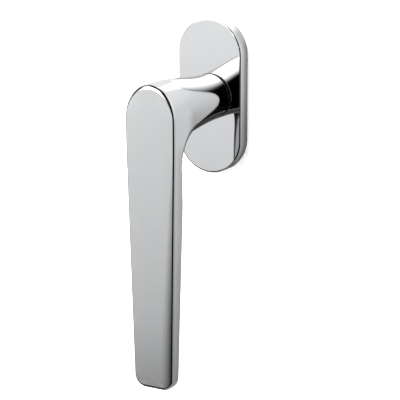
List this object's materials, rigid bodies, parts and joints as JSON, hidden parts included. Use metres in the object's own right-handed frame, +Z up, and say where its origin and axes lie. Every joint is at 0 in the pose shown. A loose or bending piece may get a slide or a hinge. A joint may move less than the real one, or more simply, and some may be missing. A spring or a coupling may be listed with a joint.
{
  "type": "tilt and turn window handle",
  "caption": "Polished window handle: a flat tapered grip on a round neck that turns in a slim obround rosette with a square drive spindle.",
  "frame": {"origin": "on the spindle's axis at the rosette's back plane, where it sits on the sash", "axes": "+Y along the spindle into the sash, -Y towards the person, +Z up; the grip hangs down, which is closed"},
  "size_m": [0.0318, 0.0936, 0.1576],
  "materials": {
    "polished_chrome": "polished chrome plate",
    "black_plastic": "black acetal, fine moulded",
    "white_plastic": "white acetal",
    "grey_plastic": "grey moulded nylon",
    "die_cast_zinc": "die-cast zinc alloy, tumbled",
    "zinc_steel": "bright zinc plate",
    "bright_steel": "hardened and ground",
    "black_steel": "black oxide",
    "spring_steel": "drawn spring steel"
  },
  "bodies": {
    "base": {"base_plate": "die_cast_zinc", "back_plate": "zinc_steel", "plate_screws": "zinc_steel", "fixing_screws": "zinc_steel", "bearing_bush": "white_plastic", "cone_washer": "spring_steel", "snap_ring": "spring_steel", "detent_spring_left": "spring_steel", "detent_spring_right": "spring_steel"},
    "handle": {"lever": "polished_chrome", "spindle": "zinc_steel", "set_screw": "black_steel", "neck_ring": "black_plastic", "detent_hub": "bright_steel", "thrust_washer": "bright_steel", "retaining_ring": "spring_steel"},
    "cover": {"rosette_cover": "polished_chrome", "cover_carrier": "grey_plastic"},
    "ball_left": {"detent_ball_left": "bright_steel"},
    "ball_right": {"detent_ball_right": "bright_steel"}
  },
  "joints": [
    {"name": "handle_turn", "type": "hinge", "parent": "base", "child": "handle", "pos_m": [0, 0, 0], "axis": [0, 1, 0], "range_deg": [0, 180]},
    {"name": "cover_turn", "type": "hinge", "parent": "base", "child": "cover", "pos_m": [0, 0, 0], "axis": [0, 1, 0], "range_deg": [0, 90]},
    {"name": "detent_left", "type": "slide", "parent": "base", "child": "ball_left", "axis": [1, 0, 0], "range_m": [0, 0.0006], "stiffness_N_per_m": 200, "springref_m": 0.0016, "deforming": ["detent_spring_left"]},
    {"name": "detent_right", "type": "slide", "parent": "base", "child": "ball_right", "axis": [-1, 0, 0], "range_m": [0, 0.0006], "stiffness_N_per_m": 200, "springref_m": 0.0016, "deforming": ["detent_spring_right"]}
  ]
}
